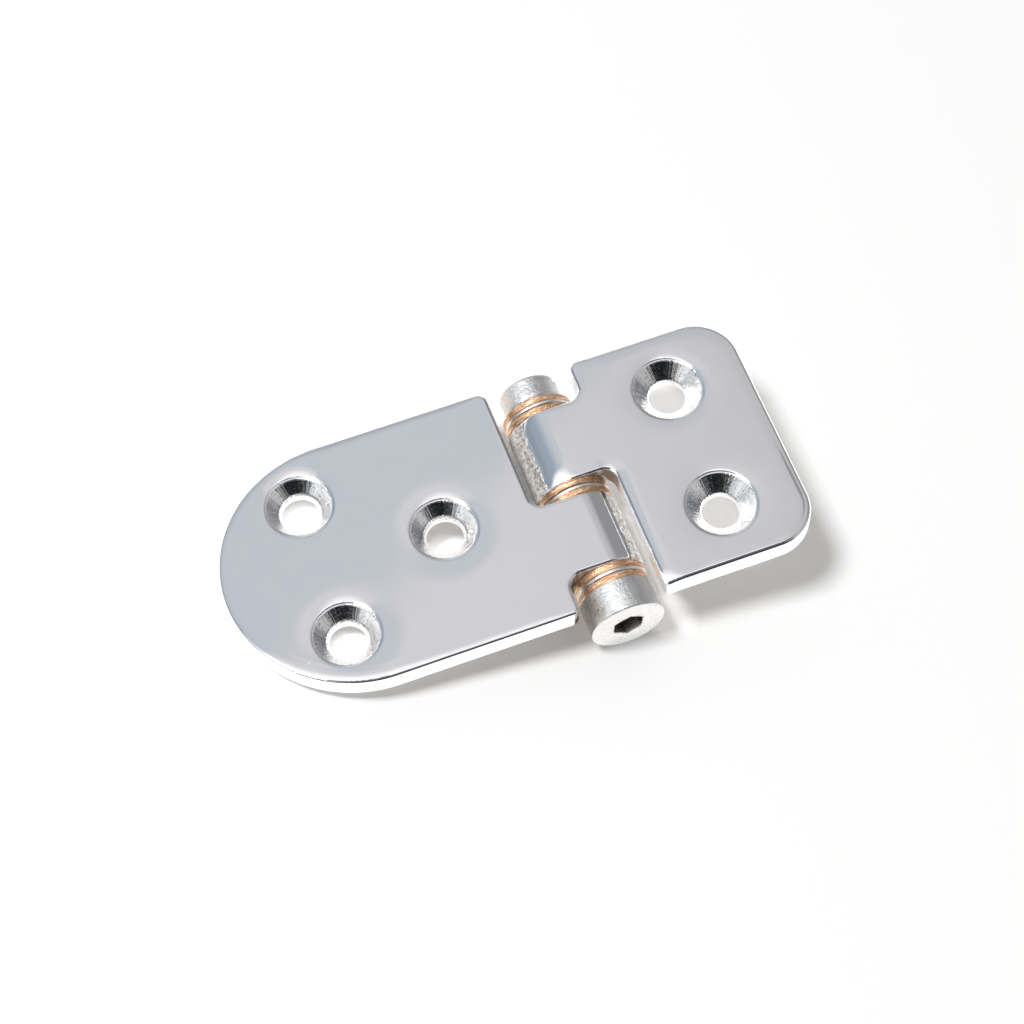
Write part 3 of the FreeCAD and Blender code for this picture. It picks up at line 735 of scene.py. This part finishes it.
def make_ring_tree():
    """Geometry Nodes tree of a stamped ring about the pivot, with its corners rounded, its outside
    wandering a little, and an optional cone."""
    tree = bpy.data.node_groups.new("stamped_ring", "GeometryNodeTree")
    add_sockets(tree, "INPUT", "NodeSocketGeometry", "Geometry")
    add_sockets(tree, "INPUT", "NodeSocketFloat", "Bore radius", "Outer radius", "Thickness", "Corner",
                "Middle place", "Cone", "Wander", "Seed")
    add_sockets(tree, "INPUT", "NodeSocketMaterial", "Material")
    add_sockets(tree, "OUTPUT", "NodeSocketGeometry", "Geometry")
    value = {socket.name: socket for socket in tree.nodes.new("NodeGroupInput").outputs}
    width = math_node(tree, "SUBTRACT", value["Outer radius"], value["Bore radius"])
    middle = product_node(tree, math_node(tree, "ADD", value["Outer radius"], value["Bore radius"]), 0.5)
    strip = new_node(tree, "GeometryNodeCurvePrimitiveQuadrilateral",
                     {"Width": width, "Height": value["Thickness"]})
    fillet = new_node(tree, "GeometryNodeFilletCurve",
                      {"Curve": strip, "Radius": value["Corner"], "Count": 4}, mode="POLY")
    circle = new_node(tree, "GeometryNodeCurvePrimitiveCircle",
                      {"Radius": middle, "Resolution": 180}, mode="RADIUS")
    sweep = new_node(tree, "GeometryNodeCurveToMesh",
                     {"Curve": circle.outputs["Curve"], "Profile Curve": fillet})
    # turned from the Z axis to the pivot, which is Y
    turned = new_node(tree, "GeometryNodeTransform",
                      {"Geometry": sweep, "Rotation": (math.radians(-90), 0.0, 0.0)})
    position = tree.nodes.new("GeometryNodeInputPosition")
    x, y, z = parts_of(tree, position)
    reach = distance_node(tree, x, z)
    outwards = math_node(tree, "DIVIDE", math_node(tree, "SUBTRACT", reach, middle), width)
    cone = product_node(tree, outwards, value["Cone"])
    noise = new_node(tree, "ShaderNodeTexNoise",
                     {"Vector": position, "W": value["Seed"], "Scale": 700.0, "Detail": 2.0},
                     noise_dimensions="4D")
    inset = product_node(tree, noise.outputs["Fac"], value["Wander"])
    outer_only = product_node(tree, inset, math_node(tree, "ADD", outwards, 0.5, clamp=True))
    grow = math_node(tree, "SUBTRACT", 1.0, math_node(tree, "DIVIDE", outer_only, reach))
    along = math_node(tree, "ADD", math_node(tree, "ADD", y, cone), value["Middle place"])
    joined = new_node(tree, "ShaderNodeCombineXYZ",
                      {"X": product_node(tree, x, grow), "Y": along, "Z": product_node(tree, z, grow)})
    moved = new_node(tree, "GeometryNodeSetPosition", {"Geometry": turned, "Position": joined})
    real = new_node(tree, "GeometryNodeRealizeInstances", {0: moved})
    painted = new_node(tree, "GeometryNodeSetMaterial", {"Geometry": real, "Material": value["Material"]})
    new_node(tree, "NodeGroupOutput", {0: painted})
    return tree


def make_ring(name, tree, **settings):
    """Run the tree once and keep its result as a plain mesh."""
    piece = new_object(name, bpy.data.meshes.new(name))
    modifier = piece.modifiers.new("ring", "NODES")
    modifier.node_group = tree
    for socket in tree.interface.items_tree:
        key = socket.name.replace(" ", "_")
        if socket.in_out == "INPUT" and key in settings:
            modifier[socket.identifier] = settings[key]
    graph = bpy.context.evaluated_depsgraph_get()
    made = bpy.data.meshes.new_from_object(piece.evaluated_get(graph), depsgraph=graph)
    piece.modifiers.remove(modifier)
    piece.data = made
    made.name = name
    made.set_sharp_from_angle(angle=math.radians(40))
    shade_smooth(made)
    return piece


stamped_ring = make_ring_tree()
bronze = make_bronze()
spring_steel = make_spring_steel()
# (name, where it starts, thickness of its washers, side to which its spring is hollow)
packs = (("head", head_seat, 1.1, 1), ("middle", rounded_far, 1.0, -1), ("nut", square_far, 1.0, 1))
for number, (pack, start, washer_thickness, hollow) in enumerate(packs):
    for order, side in enumerate(("near", "far")):
        middle = start + washer_thickness / 2 + order * (washer_thickness + spring_height)
        washer = make_ring(
            f"bronze_{pack}_{side}", stamped_ring, Bore_radius=ring_bore * mm,
            Outer_radius=washer_radius * mm, Thickness=washer_thickness * mm, Corner=0.14 * mm,
            Middle_place=middle * mm, Cone=0.0, Wander=0.09 * mm, Seed=3.0 * number + order, Material=bronze)
        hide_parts(f"{pack}_washer_{side}")
        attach(washer, "rounded_side")
    middle = start + washer_thickness + spring_height / 2
    spring = make_ring(
        f"coned_{pack}_spring", stamped_ring, Bore_radius=ring_bore * mm, Outer_radius=spring_radius * mm,
        Thickness=(spring_height - spring_cone) * mm, Corner=0.12 * mm, Middle_place=middle * mm,
        Cone=hollow * spring_cone * mm, Wander=0.04 * mm, Seed=20.0 + number, Material=spring_steel)
    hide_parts(f"{pack}_disc_spring")
    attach(spring, "rounded_side")

# Stage: a white table on which the hinge lies on its barrel and the tip of its rounded leaf, a wide soft lamp
# behind it on the left, and the pale room that the polished faces mirror. The room is in metres.

lean = math.radians(8.2)
table_drop = 5.46
half_table = 3
floor_mesh = bpy.data.meshes.new("table")
floor_mesh.from_pydata([(-half_table, -half_table, 0), (half_table, -half_table, 0),
                        (half_table, half_table, 0), (-half_table, half_table, 0)], [], [(0, 1, 2, 3)])
floor = new_object("table", floor_mesh)
floor.matrix_world = Matrix.Rotation(lean, 4, "Y") @ Matrix.Translation((0, 0, -table_drop * mm))


def make_table_top():
    """White paper: the lamp's light and shadow on it, lifted to white where it is seen or mirrored. From
    below it is clear."""
    material = bpy.data.materials.new("white_table")
    tree = empty_tree(material)
    path = tree.nodes.new("ShaderNodeLightPath").outputs
    x, y, _ = parts_of(tree, tree.nodes.new("ShaderNodeTexCoord").outputs["Object"])
    # light that the metal throws on the table, down through the holes and beside the screw's head:
    # (x, y, radius, radius that is evenly lit, strength)
    thrown = 0.08
    for spot_x, spot_y, radius, even, strength in (
            (-37.0, 10.4, 4.4, 2.6, 0.48), (-37.2, -11.1, 4.1, 2.5, 0.50), (-19.2, -0.9, 5.2, 1.8, 0.52),
            (20.6, 14.4, 6.0, 3.5, 0.22), (20.6, -5.6, 6.0, 3.5, 0.22), (8.3, -18.6, 4.4, 2.5, 0.17)):
        far = distance_node(tree, math_node(tree, "SUBTRACT", x, spot_x * mm),
                            math_node(tree, "SUBTRACT", y, spot_y * mm))
        spot = ramp_node(tree, far, radius * mm, even * mm, 0.0, strength)
        thrown = math_node(tree, "ADD", spot, thrown)
    # the table stays white beyond the lamp's reach
    reach = math_node(tree, "ADD", math_node(tree, "ABSOLUTE", x), math_node(tree, "ABSOLUTE", y))
    thrown = math_node(tree, "ADD", ramp_node(tree, reach, 0.3, 1.4, 0.0, 0.6), thrown)
    seen = product_node(tree, path["Is Camera Ray"], thrown)
    seen = math_node(tree, "MULTIPLY_ADD", path["Is Glossy Ray"], 0.62, seen)
    paper = new_node(tree, "ShaderNodeBsdfDiffuse", {"Color": (0.80, 0.80, 0.80, 1.0)})
    both = new_node(tree, "ShaderNodeAddShader",
                    {0: paper, 1: new_node(tree, "ShaderNodeEmission", {"Strength": seen})})
    clear = tree.nodes.new("ShaderNodeBsdfTransparent")
    under = tree.nodes.new("ShaderNodeNewGeometry").outputs["Backfacing"]
    choice = new_node(tree, "ShaderNodeMixShader", {0: under, 1: both, 2: clear})
    new_node(tree, "ShaderNodeOutputMaterial", {"Surface": choice})
    return material


floor.data.materials.append(make_table_top())


def make_room():
    """The room by direction, as the metal mirrors it: a white panel overhead, a grey one behind, blue-grey
    walls low down and the dark place where the viewer stands. All else sees it white."""
    world = bpy.data.worlds.new("pale_room")
    tree = empty_tree(world)
    x, y, z = parts_of(tree, tree.nodes.new("ShaderNodeTexCoord").outputs["Generated"])
    height = math_node(tree, "MAXIMUM", z, 0.04)
    u = math_node(tree, "DIVIDE", x, height)
    v = math_node(tree, "DIVIDE", y, height)
    front_x, front_y = -0.355, -0.935
    ahead = math_node(tree, "ADD", product_node(tree, x, front_x), product_node(tree, y, front_y))
    across = math_node(tree, "ADD", product_node(tree, x, -front_y), product_node(tree, y, front_x))
    turned = math_node(tree, "DIVIDE", across, math_node(tree, "MAXIMUM", ahead, 0.05))

    def fade(value, low, high):
        return ramp_node(tree, value, low, high)

    # grey panel behind and above, which the faces mirror, warmer to the right
    edge = math_node(tree, "MINIMUM", math_node(tree, "MULTIPLY_ADD", u, 0.62, 0.438), 0.578)
    warm = fade(math_node(tree, "SUBTRACT", v, edge), 0.016, -0.016)
    colour = mix_node(tree, warm, (0.583, 0.608, 0.652), (0.705, 0.69, 0.708))
    # dim ceiling in front of the white panel
    ceiling = mix_node(tree, fade(u, 0.44, 0.62), (0.13, 0.14, 0.16), (0.46, 0.47, 0.49))
    ceiling = mix_node(tree, fade(u, -0.38, -0.60), ceiling, (0.90, 0.91, 0.92))
    low = fade(v, -0.75, -1.25)
    white = (0.97, 0.97, 0.97)
    for shares, shade in (
            # the grey panel darkens to the right and towards the back, and the wall behind is pale again
            ([fade(u, 0.13, 0.40)], (0.55, 0.545, 0.56)),
            ([fade(v, 0.58, 0.90)], (0.42, 0.45, 0.49)),
            ([fade(v, 0.95, 1.5)], (0.70, 0.72, 0.74)),
            # blue-grey wall on the left, darker grey wall on the right
            ([fade(u, 0.02, -0.62)], (0.345, 0.405, 0.475)),
            ([fade(u, -0.7, -1.5)], (0.29, 0.345, 0.41)),
            ([fade(u, 0.42, 0.95)], (0.30, 0.30, 0.305)),
            # white panel overhead, and the ceiling in front of it
            ([fade(u, 0.36, 0.20), fade(u, -1.1, -0.7), fade(v, 0.41, 0.20)], (1.1, 1.1, 1.1)),
            ([fade(v, 0.05, -0.08)], ceiling),
            # front wall low down, its left and right ends, and the corner on the right
            ([low, fade(z, 0.34, 0.24)], (0.40, 0.41, 0.43)),
            ([low, fade(turned, -0.70, -0.95)], (0.50, 0.58, 0.66)),
            ([low, fade(turned, 1.9, 2.3)], (0.52, 0.52, 0.53)),
            ([fade(x, 0.90, 0.97), fade(z, 0.30, 0.18)], (0.18, 0.18, 0.185)),
            # dark place where the viewer stands
            ([fade(turned, -0.88, -0.76), fade(turned, 2.0, 1.7), low, fade(z, 0.24, 0.34)],
             (0.010, 0.011, 0.012)),
            # white backdrop at the level of the table, higher on the left
            ([fade(z, 0.37, 0.21), fade(x, 0.35, -0.2), fade(turned, -0.8, -1.3)], white),
            ([fade(z, 0.07, 0.01)], white)):
        colour = mix_node(tree, product_node(tree, *shares), colour, shade)

    path = tree.nodes.new("ShaderNodeLightPath").outputs
    room = new_node(tree, "ShaderNodeBackground", {"Color": colour})
    # what lights the table is a little warm, and dimmer from the viewer's side
    soft = math_node(tree, "SUBTRACT", 1.0, path["Is Camera Ray"])
    tint = mix_node(tree, soft, (1.0, 1.0, 1.0), (1.0, 0.99, 0.978))
    less = product_node(tree, soft, math_node(tree, "MULTIPLY_ADD", y, 0.32, -0.53))
    plain = new_node(tree, "ShaderNodeBackground",
                     {"Color": tint, "Strength": math_node(tree, "ADD", less, 1.0)})
    choice = new_node(tree, "ShaderNodeMixShader", {0: path["Is Glossy Ray"], 1: plain, 2: room})
    new_node(tree, "ShaderNodeOutputWorld", {"Surface": choice})
    return world


bpy.context.scene.world = make_room()
bpy.context.scene.view_settings.view_transform = "Standard"

lamp_place = Vector((-0.48, 0.11, 1.40))
lamp_data = bpy.data.lights.new("soft_lamp", "AREA")
lamp_data.shape = "DISK"
lamp_data.size = 0.38
lamp_data.energy = 17.6
lamp = new_object("soft_lamp", lamp_data)
lamp.location = lamp_place
lamp.rotation_mode = "QUATERNION"
lamp.rotation_quaternion = (-lamp_place).to_track_quat("-Z", "Y")

# Camera: it stands in front of the hinge, a little to the left, with a long lens. Its place is in metres, and
# right and down are the directions in which its picture runs.

camera_place = (-0.05967, -0.15725, 0.30524)
right = Vector((0.93804, -0.34566, -0.0243)).normalized()
down = Vector((-0.31436, -0.81939, -0.47935))
down = (down - right * down.dot(right)).normalized()
forward = right.cross(down)
turned = Matrix((right, -down, -forward)).transposed()
camera_data = bpy.data.cameras.new("camera")
camera_data.sensor_width = 36.0
camera_data.lens = 85.85
camera_data.clip_start = 0.01
camera_data.clip_end = 20.0
camera = new_object("camera", camera_data)
camera.matrix_world = Matrix.Translation(camera_place) @ turned.to_4x4()
bpy.context.scene.camera = camera
